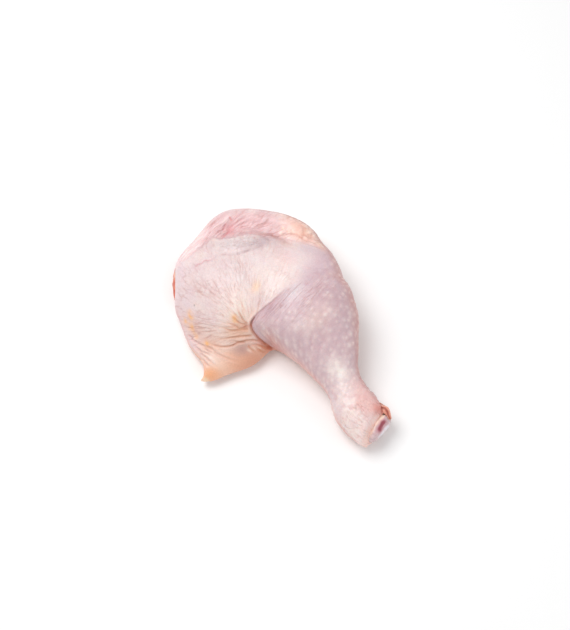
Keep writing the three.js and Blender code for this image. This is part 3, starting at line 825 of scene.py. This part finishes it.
# Colours at the cut: pale skin, peach by the bone, a lip that is darker at its foot, red by the tendon. The
# skin beside the cut, which turns away from the key lamp, is painted paler as painted light.
lip_end = smoothstep(-2, 5, (place - HOCK) @ LONG_WAY)
tone = layered(tone, [
    # Painted light: the skin beside the cut and next to the bone is painted paler where it turns from the key
    # lamp.
    (cut_side * (1 - sore) * 0.45, (255, 228, 226)),
    (near_cut * 0.6, (255, 212, 202)),
    (smoothstep(6.5, 3, bone_gap) * cut_side * 0.55, (250, 206, 194)),
    (bell(bone_gap - 4.9, 0.5) * cut_side * lip_end * 0.5, (226, 164, 144)),
    (lip * at_cut * 0.5, (250, 230, 232)),
    (ring * at_cut * 0.7, (250, 204, 190)),
    (sore * at_cut * 0.7, (196, 110, 96)),
    (patch(59.6, -42.8, 4.2, 1.2) * 0.9, (220, 138, 126)),
])


def line_work(material, width, darker, depth):
    """Adds the hair-thin lines to a flesh material: a darker tone, painted shade in them, and a shallow
    groove, broken in places.
    """
    tree = material.node_tree
    shader = tree.nodes["Principled BSDF"]
    where = add(tree, "Attribute", attribute_name="weave")
    strength = add(tree, "Attribute", attribute_name="fineness")
    cells = add(tree, "TexVoronoi", feature="DISTANCE_TO_EDGE", Scale=1.0)
    join(tree, where, "Vector", cells, "Vector")
    border = add(tree, "MapRange", From_Min=0.0, From_Max=width, To_Min=1.0, To_Max=0.0)
    join(tree, cells, "Distance", border, "Value")
    breaks = add(tree, "TexNoise", Scale=1.1)
    join(tree, where, "Vector", breaks, "Vector")
    whole = add(tree, "MapRange", From_Min=0.4, From_Max=0.6)
    join(tree, breaks, "Fac", whole, "Value")
    drawn = add(tree, "Math", operation="MULTIPLY")
    join(tree, border, "Result", drawn, 0)
    join(tree, whole, "Result", drawn, 1)
    line = add(tree, "Math", operation="MULTIPLY")
    join(tree, drawn, "Value", line, 0)
    join(tree, strength, "Fac", line, 1)
    shade = add(tree, "MixRGB", blend_type="MULTIPLY", Color2=(*darker, 1))
    join(tree, line, "Value", shade, "Fac")
    join(tree, tree.nodes["colour"], "Color", shade, "Color1")
    join(tree, shade, "Color", shader, "Base Color")
    groove = add(tree, "Bump", invert=True, Strength=0.5, Distance=depth)
    join(tree, line, "Value", groove, "Height")
    join(tree, tree.nodes["relief"], "Normal", groove, "Normal")
    join(tree, groove, "Normal", shader, "Normal")


raw_skin = flesh("raw_skin", gloss=0.36, subsurface=0.18, bleed=(1.0, 0.5, 0.35), grain=0.0009, depth=0.00025)
line_work(raw_skin, width=0.12, darker=(0.84, 0.72, 0.7), depth=0.0003)
finish(skin, "skin_on_leg", tone, raw_skin)

# Stage
# A plain white table under soft light from all round, with a large lamp high on the left and a weaker one low
# on the right. The camera looks from in front and well above.
ground = bmesh.new()
bmesh.ops.create_grid(ground, x_segments=1, y_segments=1, size=2)
mesh = bpy.data.meshes.new("floor")
ground.to_mesh(mesh)
ground.free()
floor = bpy.data.objects.new("floor", mesh)
bpy.context.scene.collection.objects.link(floor)
white = bpy.data.materials.new("white_table")
white.use_nodes = True
surface = white.node_tree.nodes["Principled BSDF"]
surface.inputs["Base Color"].default_value = (0.95, 0.95, 0.95, 1)
surface.inputs["Roughness"].default_value = 0.9
surface.inputs["Specular IOR Level"].default_value = 0.1
floor.data.materials.append(white)

world = bpy.data.worlds.new("studio")
bpy.context.scene.world = world
world.use_nodes = True
world.node_tree.nodes["Background"].inputs["Color"].default_value = (1, 1, 1, 1)
world.node_tree.nodes["Background"].inputs["Strength"].default_value = 0.6


def lamp(name, size, power, distance, turn, lift):
    """A square soft light that faces the leg from a direction."""
    light = bpy.data.lights.new(name, "AREA")
    light.size = size
    light.energy = power
    made = bpy.data.objects.new(name, light)
    way = Vector((math.sin(turn) * math.cos(lift), math.cos(turn) * math.cos(lift), math.sin(lift)))
    made.location = way * distance
    made.rotation_euler = way.to_track_quat("Z", "Y").to_euler()
    bpy.context.scene.collection.objects.link(made)


lamp("key", size=0.5, power=4.6, distance=0.9, turn=math.radians(-60), lift=math.radians(66))
lamp("fill", size=0.7, power=1.2, distance=0.9, turn=math.radians(128), lift=math.radians(30))

VIEW_LIFT = math.radians(68)
VIEW_DISTANCE = 0.9223
AIM = Vector((0.00328, 0.00974, 0.01))
camera = bpy.data.cameras.new("camera")
camera.lens = 85
camera.sensor_width = 36
eye = bpy.data.objects.new("camera", camera)
eye.location = AIM + Vector((0, -math.cos(VIEW_LIFT), math.sin(VIEW_LIFT))) * VIEW_DISTANCE
eye.rotation_euler = (math.pi / 2 - VIEW_LIFT, 0, 0)
bpy.context.scene.collection.objects.link(eye)
bpy.context.scene.camera = eye
bpy.context.scene.view_settings.view_transform = "Standard"
